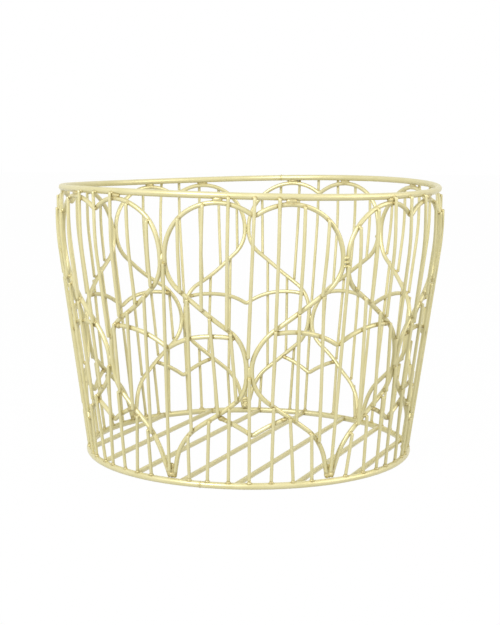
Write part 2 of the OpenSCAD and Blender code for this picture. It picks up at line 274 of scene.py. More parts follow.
class Wall:
    """The round wall that the heart wires follow, flush with the outside of the top ring."""

    def __init__(self, scene):
        wires, wall = scene.basket_wires, scene.basket_wall
        self.hand = scene.basket_hand
        noise.seed_set(self.hand.seed)
        self.pushes = [
            (math.radians(degrees), *(size * MILLIMETRE for size in sizes)) for degrees, *sizes in PUSHES]
        self.bar_offset = (wires.heart_wire + wires.bar_wire) / 2 + wires.weld_gap
        self.top_r = RIM_R + (RIM_WIRE - wires.heart_wire) / 2
        self.base_r = FOOT_R - self.bar_offset
        self.slope = math.atan((self.top_r - self.base_r) / (wall.shoulder_h - FOOT_Z))
        self.bend_r = wall.shoulder_bend_r
        self.upright_h = wall.shoulder_h + self.bend_r * math.tan(self.slope / 2)
        self.half_heart = self.top_r * math.pi / HEARTS

    def radius(self, z, out=0.0):
        """Radius at height z of the wall moved outwards by out."""
        bend_r = self.bend_r + out
        centre_r = self.top_r - self.bend_r
        slant_h = self.upright_h - bend_r * math.sin(self.slope)
        if z >= self.upright_h:
            return self.top_r + out
        if z > slant_h:
            return centre_r + math.sqrt(bend_r ** 2 - (self.upright_h - z) ** 2)
        return centre_r + bend_r * math.cos(self.slope) - (slant_h - z) * math.tan(self.slope)

    def by_hand(self, angle, z):
        """Angle and height that a point of the plan has on the hand-made wall."""
        spot = round_place(self.top_r, angle, z)
        push = noise.noise_vector(spot * self.hand.wander_scale).xy * self.hand.wander
        for there, height, right, up, reach in self.pushes:
            apart = math.hypot(wrapped(angle - there) * self.top_r, z - height)
            push += Vector((right, up)) * math.exp(-(apart / reach) ** 2)
        held = ease((z - FOOT_Z * 2) / END_EASE) * ease((RIM_Z - RIM_WIRE - z) / END_EASE)
        return angle + push.x / self.top_r, z + push.y * held + self.rim_rise(angle, z)

    def rim_rise(self, angle, z):
        """How far the warp and tilt of the top ring lift a point."""
        share = ease((z - RIM_Z) / self.hand.rim_warp_depth + 1)
        return share * (self.hand.rim_tilt * math.sin(angle) - self.hand.rim_warp * math.sin(2 * angle))

    def polar(self, angle, z, out=0.0):
        """Place in the basket of a point at an angle and a height."""
        return round_place(self.radius(z, out), angle, z)

    def point(self, x, z, centre=0.0, out=0.0):
        """Place in the basket of a point on the unrolled wall of the heart at angle centre."""
        return self.polar(*self.by_hand(centre + x / self.top_r, z), out)


def ease(share):
    """0 below 0, 1 above 1, and a soft rise between them."""
    share = min(1.0, max(0.0, share))
    return share * share * (3 - 2 * share)


def wrapped(angle):
    """The same angle between half a turn back and half a turn on."""
    return (angle + math.pi) % (2 * math.pi) - math.pi


def round_place(r, angle, z):
    """Place at a radius, at an angle round the basket from the front, and at a height."""
    return Vector((r * math.sin(angle), -r * math.cos(angle), z))


def outward(place):
    """Level direction from the middle of the basket to a place."""
    return Vector((place.x, place.y, 0.0)).normalized()


# Courses of the wires on the unrolled wall, as lists of (x, z)

# Steps of a notch, of a lobe, of an arch's bow, of a swing and of a leg's straight end
NOTCH_STEPS = 8
LOBE_STEPS = 48
BOW_STEPS = 160
SWING_STEPS = 16
LEG_STEPS = 6


def arc(centre, r, start, end, steps):
    """Points on an arc about centre from angle start to angle end."""
    angles = [start + (end - start) * i / steps for i in range(steps + 1)]
    return [(centre[0] + r * math.cos(a), centre[1] + r * math.sin(a)) for a in angles]


def swing(a, b, upper_r, lower_r, lean=0.0):
    """A swing from an upright wire at a down to b, where it leans: two bends and a straight."""
    side = 1 if a[0] > b[0] else -1
    plumb = (b[0] + side * lower_r * (math.cos(lean) - 1), b[1] - lower_r * math.sin(lean))
    run = abs(a[0] - plumb[0]) - upper_r - lower_r
    drop = a[1] - plumb[1]
    straight = math.sqrt(max(0.0, run ** 2 + drop ** 2 - (upper_r + lower_r) ** 2))
    turn = math.atan2(run, drop) + math.atan2(upper_r + lower_r, straight)
    upper = [(a[0] + side * x, a[1] + z) for x, z in arc((-upper_r, 0), upper_r, 0, -turn, SWING_STEPS)]
    lower = arc((lower_r, 0), lower_r, math.pi - turn, math.pi - lean, SWING_STEPS)
    lower = [(plumb[0] + side * x, plumb[1] + z) for x, z in lower]
    return upper + between(upper[-1], lower[0], SWING_STEPS) + lower


def between(a, b, steps):
    """Points between a and b, without the ends."""
    shares = [i / steps for i in range(1, steps)]
    return [(a[0] + (b[0] - a[0]) * s, a[1] + (b[1] - a[1]) * s) for s in shares]


def notch_and_bow(notch_r, bow_centre, bow_r, steps):
    """One side of a notch and the bow beside it, from the notch to the far side of the bow."""
    rise = math.sqrt((bow_r + notch_r) ** 2 - bow_centre[0] ** 2)
    meet = math.atan2(rise, -bow_centre[0])
    bend = arc((0.0, bow_centre[1] + rise), notch_r, -math.pi / 2, meet - math.pi, NOTCH_STEPS)
    return bend + arc(bow_centre, bow_r, meet, 0.0, steps)[1:]


def both_halves(half):
    """A whole course, from one end through the notch to the other."""
    return [(-x, z) for x, z in reversed(half[1:])] + half


def height_at(course, x):
    """Height of a course at x, or at its nearer end."""
    ends = sorted((course[0], course[-1]))
    x = min(max(x, ends[0][0]), ends[1][0])
    for (x0, z0), (x1, z1) in zip(course, course[1:]):
        if min(x0, x1) <= x <= max(x0, x1) and x0 != x1:
            return z0 + (z1 - z0) * (x - x0) / (x1 - x0)
    return course[0][1]


def leg_place(course, z):
    """Place x at height z of a course that runs down."""
    for (x0, z0), (x1, z1) in zip(course, course[1:]):
        if z1 <= z <= z0 and z0 != z1:
            return x1 + (x0 - x1) * (z - z1) / (z0 - z1)
    return course[-1][0]


# How near an arch's end comes to the centre of the heart wire, in shares of the wire
ARCH_END_SHARE = 0.68


class Courses:
    """The courses of one heart and its arches."""

    def __init__(self, scene, wall):
        wires, hearts = scene.basket_wires, scene.basket_hearts
        self.wire = wires.heart_wire
        self.gap = wires.weld_gap
        self.notch_r = hearts.notch_bend_r

        def touch(z):
            return (self.wire + self.gap) / 2 * wall.top_r / wall.radius(z)

        lean = hearts.foot_lean
        self.bar_foot_z = FOOT_Z + FOOT_WIRE / 2 + self.gap
        self.foot = (wall.half_heart - touch(FOOT_WIRE), self.bar_foot_z + self.wire / 2 * math.sin(lean))
        bend_x = self.foot[0] - (hearts.foot_bend_h - self.foot[1]) * math.tan(lean)
        shoulder = (wall.half_heart - touch(hearts.shoulder_touch_h), hearts.shoulder_touch_h)
        self.lobe_r = hearts.lobe_r
        lobe_z = RIM_Z - (RIM_WIRE + self.wire) / 2 - hearts.rim_gap - self.lobe_r
        self.lobe_centre = (shoulder[0] - self.lobe_r, lobe_z)
        self.upper = swing(shoulder, (touch(hearts.waist_top_h), hearts.waist_top_h),
                           hearts.shoulder_swing_r, hearts.waist_upper_r)
        self.lower = swing((touch(hearts.waist_low_h), hearts.waist_low_h),
                           (bend_x, hearts.foot_bend_h),
                           hearts.waist_lower_r, hearts.foot_swing_r, lean)
        self.lower += between(self.lower[-1], self.foot, LEG_STEPS) + [self.foot]
        lobe = notch_and_bow(self.notch_r, self.lobe_centre, self.lobe_r, LOBE_STEPS)
        self.heart = lobe + self.upper + self.lower
        self.shoulder_z = (hearts.shoulder_touch_h + lobe_z) / 2
        self.waist_z = (hearts.waist_top_h + hearts.waist_low_h) / 2
        self.waist_fork_x = touch(hearts.waist_top_h) + wires.bar_wire / 2
        self.foot_fork_x = self.foot[0] - wires.bar_wire / 2
        mirrored = [(wall.half_heart - x, z) for x, z in self.upper]
        middle = (hearts.middle_notch_h, hearts.middle_arch_r, hearts.middle_reach, mirrored)
        lower = (hearts.lower_notch_h, hearts.lower_arch_r, hearts.lower_reach, self.lower)
        self.arches = {}
        for i in range(1, HEARTS + 1):
            self.arches[f"middle_arch_{i}"] = self.arch(f"middle_arch_{i}", *middle)
            self.arches[f"lower_arch_{i}"] = self.arch(f"lower_arch_{i}", *lower)

    def lobe_height(self, x):
        """Height at x of a lobe's upper half, or of its centre where x is beyond its side."""
        if x > self.lobe_centre[0] + self.lobe_r:
            return self.lobe_centre[1]
        return self.lobe_centre[1] + math.sqrt(self.lobe_r ** 2 - (x - self.lobe_centre[0]) ** 2)

    def arch(self, name, notch_h, bow_r, reach, legs):
        """A whole arch, which ends where its wire has run into the side of either leg."""
        rise = math.sqrt((bow_r + self.notch_r) ** 2 - reach ** 2)
        centre = (reach, notch_h + self.notch_r - rise)
        half = notch_and_bow(self.notch_r, centre, bow_r, BOW_STEPS)
        lift, tilt = ARCH_STRAYS.get(name, (0, 0.0))
        sides = []
        for sign in (-1, 1):
            kept = []
            for x, z in half:
                z += lift * MILLIMETRE + sign * tilt * x
                near = min(math.dist((x, z), leg) for leg in legs)
                if near < self.wire * ARCH_END_SHARE:
                    break
                kept.append((sign * x, z))
            sides.append(kept)
        return sides[0][:0:-1] + sides[1]


# The upright bars

# How many millimetres the low ends, and the high ends, of a row's bars stand right of their even
# places, from left to right. The other rows stray at random.
BAR_STRAYS = {
    "upper_bars_1": ((0, -2, -1, -1, -1, -2, -3), (0, 0, 0, 0, -1, -1, -1)),
    "upper_bars_2": ((-2, -6, -6, -6, -1, 3, 0), (-4, -6, -6, -4, -2, 1, 0)),
    "upper_bars_3": ((0, 0, -2, 0, 2, 6, 6), (0, 1, -2, -1, 2, 6, 4)),
    "upper_bars_4": ((2, 1, 0, 2, 4, 2, -1), (3, 1, 1, 2, 2, 1, 0)),
    "upper_bars_5": ((-5, -6, -6, -4, -2, -6, -4), (-5, -6, -6, -5, -6, -5, -4)),
    "upper_bars_7": ((0, 3, 6, 6, 6, 6, 4), (0, 2, 3, 3, 6, 4, 3)),
    "middle_bars_1": ((2, 3, 5, -1, 6, 6, 2), (3, 2, 2, 1, 2, 0, -4)),
    "middle_bars_3": ((0, -5, 4, 3, 0, 3, 2), (3, 0, 5, 5, 4, 3, 3)),
    "middle_bars_4": ((0, -5, -4, 0, 0, 3, 5), (0, -3, -2, -6, -2, 0, 6)),
    "middle_bars_5": ((-5, -6, -2, -3, -1, 1, 1), (-4, -4, -1, 0, 2, -2, 3)),
    "middle_bars_7": ((0, -2, 2, 0, 2, 5, 2), (2, 1, 1, 2, 1, 0, -2)),
    "lower_bars_1": ((3, 0, -1, -2, -2, -2, -4), (3, 2, 0, 0, -1, -6, -6)),
    "lower_bars_2": ((1, 5, 6, 3, 4, 4, 0), (3, 2, 2, -3, -4, 0, 0)),
    "lower_bars_4": ((-4, 6, 4, 3, 2, 3, -1), (0, 6, 4, 1, 0, 2, -2)),
    "lower_bars_5": ((3, 0, -2, -5, 0, -5, -6), (5, 2, -1, -2, -4, -4, -5)),
    "lower_bars_7": ((0, -5, -2, -6, -5, -6, -6), (0, -1, -5, 0, -6, -1, -6)),
}

# Where in the noise the strays of a bar are drawn, so that no two bars share them
STRAY_SEED = (1.37, 1.73, 0.5, 2.9)


def stray_of(name, stray, k):
    """How far both ends of the bar k places right of the middle of a row stray."""
    if name in BAR_STRAYS:
        return [ends[k + len(ends) // 2] * MILLIMETRE for ends in BAR_STRAYS[name]]
    row, number = name.rsplit("_", 1)
    by_number, by_place, shift, by_row = STRAY_SEED
    seed = Vector((int(number) * by_number, k * by_place + shift, len(row) * by_row))
    return list(noise.noise_vector(seed).xy * stray)


class Bar:
    """One bar: where its ends are, what welds them and which wires it crosses."""

    def __init__(self, wall, centre, x, strays):
        self.wall = wall
        self.centre = centre
        self.xs = [x + stray for stray in strays]
        self.ends = []
        self.end_welds = []
        self.crossings = []

    def end(self, weld, height):
        """Sets the next end, at the height that belongs to its place along the wall."""
        x = self.xs[len(self.ends)]
        self.ends.append(self.wall.by_hand(self.centre + x / self.wall.top_r, height(abs(x))))
        self.end_welds.append(weld)

    def cross(self, height):
        """Notes that the bar crosses a wire of the given height."""
        x = sum(self.xs) / 2
        self.crossings.append(self.wall.by_hand(self.centre + x / self.wall.top_r, height(x))[1])

    def at(self, z, out):
        """Place at height z on the bar's line, at the given distance from the wall."""
        (low_angle, low_z), (high_angle, high_z) = self.ends
        share = (z - low_z) / (high_z - low_z)
        return self.wall.polar(low_angle + (high_angle - low_angle) * share, z, out)

    def heights(self):
        """The heights of both ends."""
        return self.ends[0][1], self.ends[1][1]


# How far below the middle of the top ring a bar ends, in shares of the ring's wire
BELOW_RIM_SHARE = 0.25


def stand_upper(bar, i, k, scene, courses):
    """Stands a bar between the waist and the lobes, or the rim if it is near the middle."""
    short = scene.basket_bars.bar_short
    bar.end("bar_end_weld", lambda x: height_at(courses.upper, max(x, courses.waist_fork_x)) + short)
    if abs(k) > scene.basket_bars.ring_side_bars:
        bar.end("bar_end_weld", lambda x: courses.lobe_height(x) - short)
        return
    bar.end("cross_weld", lambda x: RIM_Z - RIM_WIRE * BELOW_RIM_SHARE)
    bar.cross(lambda x: courses.lobe_height(abs(x)) if k else courses.heart[0][1])


def stand_middle(bar, i, k, scene, courses):
    """Stands a bar between the feet and the shoulder of two neighbouring heart wires."""
    short = scene.basket_bars.bar_short
    half = bar.wall.half_heart
    touch = scene.basket_hearts.shoulder_touch_h - courses.wire / 2
    bar.end("bar_end_weld" if k else None,
            lambda x: height_at(courses.lower, min(half - x, courses.foot_fork_x)) + short)
    bar.end("bar_end_weld", lambda x: height_at(courses.upper, half - x) - short if k else touch)
    cross_arch(bar, courses.arches[f"middle_arch_{i}"])


def stand_lower(bar, i, k, scene, courses):
    """Stands a bar between the base ring and the legs of a heart wire."""
    short = scene.basket_bars.bar_short
    fork = scene.basket_hearts.waist_low_h - courses.wire
    bar.end("bar_foot_weld", lambda x: courses.bar_foot_z)
    bar.end("bar_end_weld", lambda x: height_at(courses.lower, x) - short if k else fork)
    cross_arch(bar, courses.arches[f"lower_arch_{i}"])


def cross_arch(bar, arch):
    """Notes where a bar crosses an arch, if the arch reaches as far."""
    if arch[0][0] < min(bar.xs) and max(bar.xs) < arch[-1][0]:
        bar.cross(lambda x: height_at(arch, x))


# Rows of bars: name of the CAD nodes, place of the row's first middle bar in hearts, and its maker
BAR_ROWS = (
    ("upper_bars", 0.0, stand_upper),
    ("middle_bars", 0.5, stand_middle),
    ("lower_bars", 0.0, stand_lower),
)


def every_bar(scene, wall, courses):
    """All bars, as a dictionary from the name of a CAD node to the bars in it."""
    bars = scene.basket_bars
    found = {}
    for row, ahead, stand in BAR_ROWS:
        for i in range(HEARTS):
            name = f"{row}_{i + 1}"
            made = []
            for k in range(-bars.side_bars, bars.side_bars + 1):
                strays = stray_of(name, scene.basket_hand.bar_stray, k)
                bar = Bar(wall, (i + ahead) * HEART_PITCH, k * bars.bar_spacing, strays)
                stand(bar, i + 1, k, scene, courses)
                made.append(bar)
            found[name] = made
    return found


# Drawing of a wire

# Longest and shortest step along a drawn wire, and the steps of a ring and of a wire across the base
LONG_STEP = 0.0013
SHORT_STEP = 0.0004
RING_STEPS = 600
CROSS_STEPS = 24

# How many sides more a ring has than a heart wire, and how many fewer a bar has
RING_EXTRA_SIDES = 8
BAR_FEWER_SIDES = 2


def stations(points, outs, radius, closed=False):
    """Frames along a wire, each with the wire's radius as its scale. The ends get domes."""
    last = len(points) - 1
    found = []
    for i, (point, out) in enumerate(zip(points, outs)):
        before = points[i - 1] if i or closed else points[i]
        after = points[(i + 1) % len(points)] if i < last or closed else points[i]
        along = (after - before).normalized()
        across = (out - out.dot(along) * along).normalized()
        turn = Matrix((across, along.cross(across), along)).transposed().to_4x4()
        found.append((Matrix.Translation(point) @ turn, along))
    body = [(place @ Matrix.Scale(radius, 4)) for place, along in found]
    if closed:
        return body
    return dome(found[0], radius, -1)[::-1] + body + dome(found[-1], radius, 1)


# Angles at which the rings of a dome stand, and how flat the dome is
DOME_ANGLES = [math.radians(a) for a in (25, 50, 75, 90)]
DOME_SHARE = 0.45


def dome(end, radius, way):
    """The rings that round off a wire's end."""
    place, along = end
    rings = []
    for angle in DOME_ANGLES:
        step = Matrix.Translation(along * way * radius * DOME_SHARE * math.sin(angle))
        rings.append(step @ place @ Matrix.Scale(radius * math.cos(angle), 4))
    return rings


def draw_wire(mesh, rings, sides, closed=False):
    """Bends a grid round the given frames. Its seam, and a dome's tip, are merged at the finish."""
    if closed:
        rings = rings + rings[:1]
    grid = bmesh.ops.create_grid(mesh, x_segments=sides, y_segments=len(rings) - 1, size=1.0)
    circle = [Vector((math.cos(a), math.sin(a), 0.0))
              for a in (2 * math.pi * (side % sides) / sides for side in range(sides + 1))]
    for i, vert in enumerate(grid["verts"]):
        vert.co = rings[i // len(circle)] @ circle[i % len(circle)]


def wire_along(mesh, points, radius, sides, closed=False):
    """Draws a wire of the wall, or a ring, through the given points."""
    outs = [outward(point) for point in points]
    draw_wire(mesh, stations(points, outs, radius, closed), sides, closed)


def even_steps(course):
    """The course without very short steps, and with points added in long ones."""
    kept = [course[0]]
    for point in course[1:]:
        apart = math.dist(point, kept[-1])
        if apart > SHORT_STEP:
            kept += between(kept[-1], point, math.ceil(apart / LONG_STEP)) + [point]
    return kept


# Welds

# How much the beads differ in size, and how soon that changes from place to place
SIZE_NOISE = 0.35
SIZE_NOISE_SCALE = 60.0


class Weld:
    """One weld bead, which lies round the basket: its part, place, size, and how dark its weld burn and
    painted corner shade are.
    """

    def __init__(self, part, place, size, burn=1.0):
        self.part = part
        self.burn = burn
        self.place = place
        self.out = outward(place)
        self.along = Vector((-self.out.y, self.out.x, 0.0))
        self.across = self.out.cross(self.along)
        vary = noise.noise_vector(place * SIZE_NOISE_SCALE) * SIZE_NOISE
        self.size = [length * (1 + change) for length, change in zip(size, vary)]

    def reach(self, spot):
        """How far a spot is from the bead's middle, where 1 is on its surface."""
        apart = spot - self.place
        parts = (apart.dot(self.along), apart.dot(self.across), apart.dot(self.out))
        return math.sqrt(sum((2 * part / length) ** 2 for part, length in zip(parts, self.size)))


# Beads of the weld at each shoulder, from the one right of the front heart round the basket
SHOULDER_BEADS = (3, 1, 1, 3, 1, 1, 1)

# Beads that fill the fork between two legs, and how much of either leg they leave bare
FORK_BEADS = 4
FORK_GRIP = 0.6

# How strongly the paint is darkened beside thin wires and beside a broad bead, where 1 is usual: partly weld
# burn, partly painted shade in the corners
STRONG_BURN_AND_SHADE = 1.4
WEAK_BURN_AND_SHADE = 0.5

# Angles at which the rings are welded shut
BASE_RING_JOINT = math.radians(-16.75)
TOP_RING_JOINT = math.radians(168)


def heart_welds(scene, wall, courses):
    """The welds of the heart wires and arches, with each other and with the rings."""
    sizes = scene.basket_welds
    found = []

    def add(part, x, z, centre, size, out=0.0, burn=1.0):
        found.append(Weld(part, wall.point(x, z, centre, out), size, burn))

    rim_z = RIM_Z - (RIM_WIRE + scene.basket_hearts.rim_gap) / 2
    proud = courses.wire / 4
    for i in range(HEARTS):
        front = i * HEART_PITCH
        side = front + HEART_PITCH / 2
        for sign in (-1, 1):
            add("rim", sign * courses.lobe_centre[0], rim_z, front, sizes.rim_weld)
        for row, centre in (("middle_arch", side), ("lower_arch", front)):
            arch = courses.arches[f"{row}_{i + 1}"]
            for x, z in (arch[0], arch[-1]):
                add("wall", x, z, centre, sizes.arch_weld, burn=STRONG_BURN_AND_SHADE)
        beads = SHOULDER_BEADS[i % len(SHOULDER_BEADS)]
        size = sizes.shoulder_weld if beads == 1 else sizes.shoulder_ridge
        for bead in range(beads):
            z = courses.shoulder_z + ((bead + 0.5) / beads - 0.5) * sizes.shoulder_run
            add("wall", wall.half_heart, z, front, size, proud if beads > 1 else proud / 2, WEAK_BURN_AND_SHADE)
        add("wall", 0.0, courses.waist_z, front, sizes.waist_weld, proud / 2, WEAK_BURN_AND_SHADE)
        add("foot", wall.half_heart, courses.foot[1] + courses.wire / 2, front, sizes.foot_weld)
        for bead in range(FORK_BEADS):
            z = courses.foot[1] + (bead + 0.5) / FORK_BEADS * sizes.fork_run
            leg = wall.half_heart - leg_place(courses.lower, z)
            width = 2 * leg - courses.wire * FORK_GRIP
            add("foot", wall.half_heart, z, front, (width, *sizes.fork_weld[1:]))
    return found


# How far out the weld of a bar's end is, in shares of the way to where the bar touches
END_WELD_SHARE = 0.8


def bar_welds(scene, wall, courses):
    """The welds at the ends and crossings of the bars."""
    sizes = scene.basket_welds
    touch = (courses.wire + courses.gap) / 2
    near = touch * END_WELD_SHARE
    found = []
    for bars in every_bar(scene, wall, courses).values():
        for bar in bars:
            for z in bar.crossings:
                found.append(Weld("wall", bar.at(z, touch), sizes.cross_weld, STRONG_BURN_AND_SHADE))
            for z, weld in zip(bar.heights(), bar.end_welds):
                if weld:
                    on_foot = weld == "bar_foot_weld"
                    place = bar.at(z, wall.bar_offset if on_foot else near)
                    found.append(Weld("foot" if on_foot else "wall", place, getattr(sizes, weld)))
    return found


def ring_welds(scene, wall):
    """The welds of the base wires on the base ring, and the joint of either ring."""
    sizes = scene.basket_welds
    found = []
    for ends in base_wire_ends():
        for end in ends:
            found.append(Weld("foot", end, sizes.base_weld))
    joints = (
        ("rim", RIM_R, TOP_RING_JOINT, RIM_Z, RIM_WIRE),
        ("foot", FOOT_R, BASE_RING_JOINT, FOOT_Z, FOOT_WIRE),
    )
    for part, ring_r, angle, z, wire in joints:
        place = round_place(ring_r, angle, z + wall.rim_rise(angle, z))
        found.append(Weld(part, place, [wire * share for share in sizes.ring_weld]))
    return found


def every_weld(scene):
    """All welds of the basket."""
    wall = Wall(scene)
    courses = Courses(scene, wall)
    return heart_welds(scene, wall, courses) + bar_welds(scene, wall, courses) + ring_welds(scene, wall)


def base_wire_ends():
    """Both ends of each base wire, from the frame."""
    ends = []
    for i in range(1, BASE_WIRES + 1):
        points = [v.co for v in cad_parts[f"base_wire_{i}"].data.vertices]
        middle = sum(points, Vector((0, 0, 0))) / len(points)
        far = max(points, key=lambda p: (p - middle).length)
        other = max(points, key=lambda p: (p - far).length)
        along = (other - far).normalized()
        flat = Vector((along.x, along.y, 0)).normalized()
        centre = Vector((middle.x, middle.y, FOOT_Z))
        runs = [flat.dot(p - centre) for p in points]
        ends.append((centre + flat * min(runs), centre + flat * max(runs)))
    return ends


# How soon the lumps of a bead change from place to place
LUMP_SCALE = 420.0


def draw_bead(mesh, weld, unevenness, rounds):
    """Adds one lumpy bead, flat where it would reach below the base ring."""
    turn = Matrix((weld.along, weld.across, weld.out)).transposed().to_4x4()
    size = Matrix.Diagonal((*(length / 2 for length in weld.size), 1.0))
    place = Matrix.Translation(weld.place) @ turn
    made = bmesh.ops.create_icosphere(mesh, subdivisions=rounds, radius=1.0, matrix=place @ size)
    for vert in made["verts"]:
        lump = noise.noise(vert.co * LUMP_SCALE)
        vert.co += (vert.co - weld.place) * lump * unevenness
        vert.co.z = max(vert.co.z, 0.0)


# Finish of a piece

def wall_piece(context, wall, name, node, course, centre):
    """Draws a heart wire or an arch along its course, about the angle centre."""
    wires = context.scene.basket_wires
    mesh = bmesh.new()
    points = [wall.point(x, z, centre) for x, z in even_steps(course)]
    wire_along(mesh, points, wires.heart_wire / 2, wires.sides)
    finish_piece(context, name, mesh, [node])


# Points nearer than this are one point
SAME_PLACE = 1e-7


def finish_piece(context, name, mesh, nodes):
    """Makes an object of a bmesh, paints it and lets it ride."""
    bmesh.ops.remove_doubles(mesh, verts=mesh.verts, dist=SAME_PLACE)
    bmesh.ops.recalc_face_normals(mesh, faces=mesh.faces)
    for face in mesh.faces:
        face.smooth = True
    data = bpy.data.meshes.new(name)
    mesh.to_mesh(data)
    mesh.free()
    mark_burns_and_shade(context, data)
    data.materials.append(bpy.data.materials["satin_gold_paint"])
    piece = bpy.data.objects.new(name, data)
    context.scene.collection.objects.link(piece)
    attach(piece, "root")
    if nodes:
        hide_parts(*nodes)


# The welds and a tree of their places, made when the first piece is finished
weld_map = {}

# How many of the nearest welds can darken a point with weld burn and painted corner shade, and how near the
# nearest has to be
BURN_AND_SHADE_WELDS = 3
BURN_AND_SHADE_SEARCH = 0.009


def mark_burns_and_shade(context, data):
    """Writes how dark each point is painted, partly weld burn and partly painted shade: 1 in the corner
    round a bead, 0 on it and away from it.
    """
    if not weld_map:
        welds = every_weld(context.scene)
        tree = kdtree.KDTree(len(welds))
        for i, weld in enumerate(welds):
            tree.insert(weld.place, i)
        tree.balance()
        weld_map.update(welds=welds, tree=tree)
    look = context.scene.basket_paint
    # Painted shade: this mark darkens the corners round each bead, partly as real weld burn and partly as
    # the shadow that lies in those corners
    burn = data.attributes.new("burn", "FLOAT", "POINT")
    for i, vert in enumerate(data.vertices):
        near = weld_map["tree"].find_n(vert.co, BURN_AND_SHADE_WELDS)
        if near[0][2] < BURN_AND_SHADE_SEARCH:
            welds = [weld_map["welds"][index] for place, index, distance in near]
            reach, share = min((weld.reach(vert.co), weld.burn) for weld in welds)
            burn.data[i].value = share * max(0.0, 1.0 - abs(reach - look.burn_and_shade_ring) / look.burn_and_shade_width)


# Paint

class NodeChain:
    """Adds shader nodes that feed each other."""

    def __init__(self, tree):
        self.tree = tree

    def add(self, kind, inputs=None, **settings):
        """Adds a node. Each input is given as its value, or as the output that feeds it."""
        node = self.tree.nodes.new(kind)
        for name, value in settings.items():
            setattr(node, name, value)
        for name, value in (inputs or {}).items():
            self.feed(node.inputs[name], value)
        return node

    def feed(self, entry, value):
        """Gives an input its value, or links the output that feeds it."""
        if isinstance(value, bpy.types.NodeSocket):
            self.tree.links.new(value, entry)
        else:
            entry.default_value = value

    def noise(self, place, scale, detail, roughness):
        """Soft noise round 0.5 from place to place."""
        settings = {"Vector": place, "Scale": scale, "Detail": detail, "Roughness": roughness}
        return self.add("ShaderNodeTexNoise", settings).outputs["Fac"]

    def map_range(self, value, **ends):
        """Maps a value from its range to another. The ends are from_min, from_max, to_min, to_max."""
        inputs = {name.replace("_", " ").title(): end for name, end in ends.items()}
        return self.add("ShaderNodeMapRange", {"Value": value, **inputs}).outputs["Result"]

    def mix(self, share, first, second):
        """The first colour where share is 0, the second where it is 1."""
        inputs = {"Factor": share, "A": first, "B": second}
        return self.add("ShaderNodeMix", inputs, data_type="RGBA").outputs["Result"]


# Scale, detail and roughness of the noise in the paint
CLOUDS = (55.0, 3.0, 0.55)
SPECKLE = (480.0, 2.0, 0.6)
ORANGE_PEEL = (900.0, 2.0, 0.5)

# Where the burnt and shaded colour starts and is fullest, in the burn and shade mark times speckle, and how
# much of it shows there. It is partly weld burn and partly painted shade in the corners round the beads
BURN_AND_SHADE_START = 0.14
BURN_AND_SHADE_FULL = 0.58
BURN_AND_SHADE_SHARE = 0.7

# Range of the clouds over which the roughness changes, and from what to what it does
GLOSS_CLOUDS = (0.3, 0.7)
GLOSS_CHANGE = (-0.06, 0.08)

# Strength and height of the orange peel
PEEL_STRENGTH = 0.35
PEEL_HEIGHT = 0.00012

# Clear gloss over the paint, and how rough it is
COAT = 0.15
COAT_ROUGHNESS = 0.25


def new_material(name):
    """A material with its nodes, and the chain that adds to them."""
    material = bpy.data.materials.new(name)
    material.use_nodes = True
    return material, material.node_tree.nodes, NodeChain(material.node_tree)


def paint_material(context):
    """Satin gold paint: pale and dark clouds, fine orange peel, and darker beside the welds with weld burn
    and painted shade.
    """
    look = context.scene.basket_paint
    material, nodes, chain = new_material("satin_gold_paint")
    surface = nodes["Principled BSDF"].inputs
    place = chain.add("ShaderNodeTexCoord").outputs["Object"]
    clouds = chain.noise(place, *CLOUDS)
    tone = chain.mix(clouds, (*look.paint, 1.0), (*look.pale_paint, 1.0))
    # Painted shade: the burn mark darkens the corners round each bead, partly as weld burn and partly as the
    # shadow that falls in those corners
    burn = chain.add("ShaderNodeAttribute", attribute_name="burn").outputs["Fac"]
    patch = chain.add("ShaderNodeMath", {0: burn, 1: chain.noise(place, *SPECKLE)}, operation="MULTIPLY")
    edge = chain.map_range(
        patch.outputs[0], from_min=BURN_AND_SHADE_START, from_max=BURN_AND_SHADE_FULL, to_max=BURN_AND_SHADE_SHARE)
    smooth, rough = (look.roughness + change for change in GLOSS_CHANGE)
    gloss = chain.map_range(
        clouds, from_min=GLOSS_CLOUDS[0], from_max=GLOSS_CLOUDS[1], to_min=smooth, to_max=rough)
    peel = {"Strength": PEEL_STRENGTH, "Distance": PEEL_HEIGHT, "Height": chain.noise(place, *ORANGE_PEEL)}
    bump = chain.add("ShaderNodeBump", peel)
    chain.feed(surface["Base Color"], chain.mix(edge, tone, (*look.burnt_and_shaded_paint, 1.0)))
    chain.feed(surface["Metallic"], look.metallic)
    chain.feed(surface["Roughness"], gloss)
    chain.feed(surface["Coat Weight"], COAT)
    chain.feed(surface["Coat Roughness"], COAT_ROUGHNESS)
    chain.feed(surface["Normal"], bump.outputs["Normal"])


# Operators

class BASKET_OT_paint(bpy.types.Operator):
    """Mix the satin gold paint"""

    bl_idname = "basket.paint"
    bl_label = "Paint"

    def execute(self, context):
        paint_material(context)
        return {"FINISHED"}


class BASKET_OT_rings(bpy.types.Operator):
    """Draw the top ring and the base ring"""

    bl_idname = "basket.rings"
    bl_label = "Rings"

    def execute(self, context):
        self.ring(context, "top_ring", "rim_wire", RIM_R, RIM_Z, RIM_WIRE)
        self.ring(context, "base_ring", "foot_wire", FOOT_R, FOOT_Z, FOOT_WIRE)
        return {"FINISHED"}

    def ring(self, context, node, name, ring_r, z, wire):
        wall = Wall(context.scene)
        mesh = bmesh.new()
        angles = [2 * math.pi * i / RING_STEPS for i in range(RING_STEPS)]
        points = [round_place(ring_r, a, z + wall.rim_rise(a, z)) for a in angles]
        sides = context.scene.basket_wires.sides + RING_EXTRA_SIDES
        wire_along(mesh, points, wire / 2, sides, closed=True)
        finish_piece(context, name, mesh, [node])


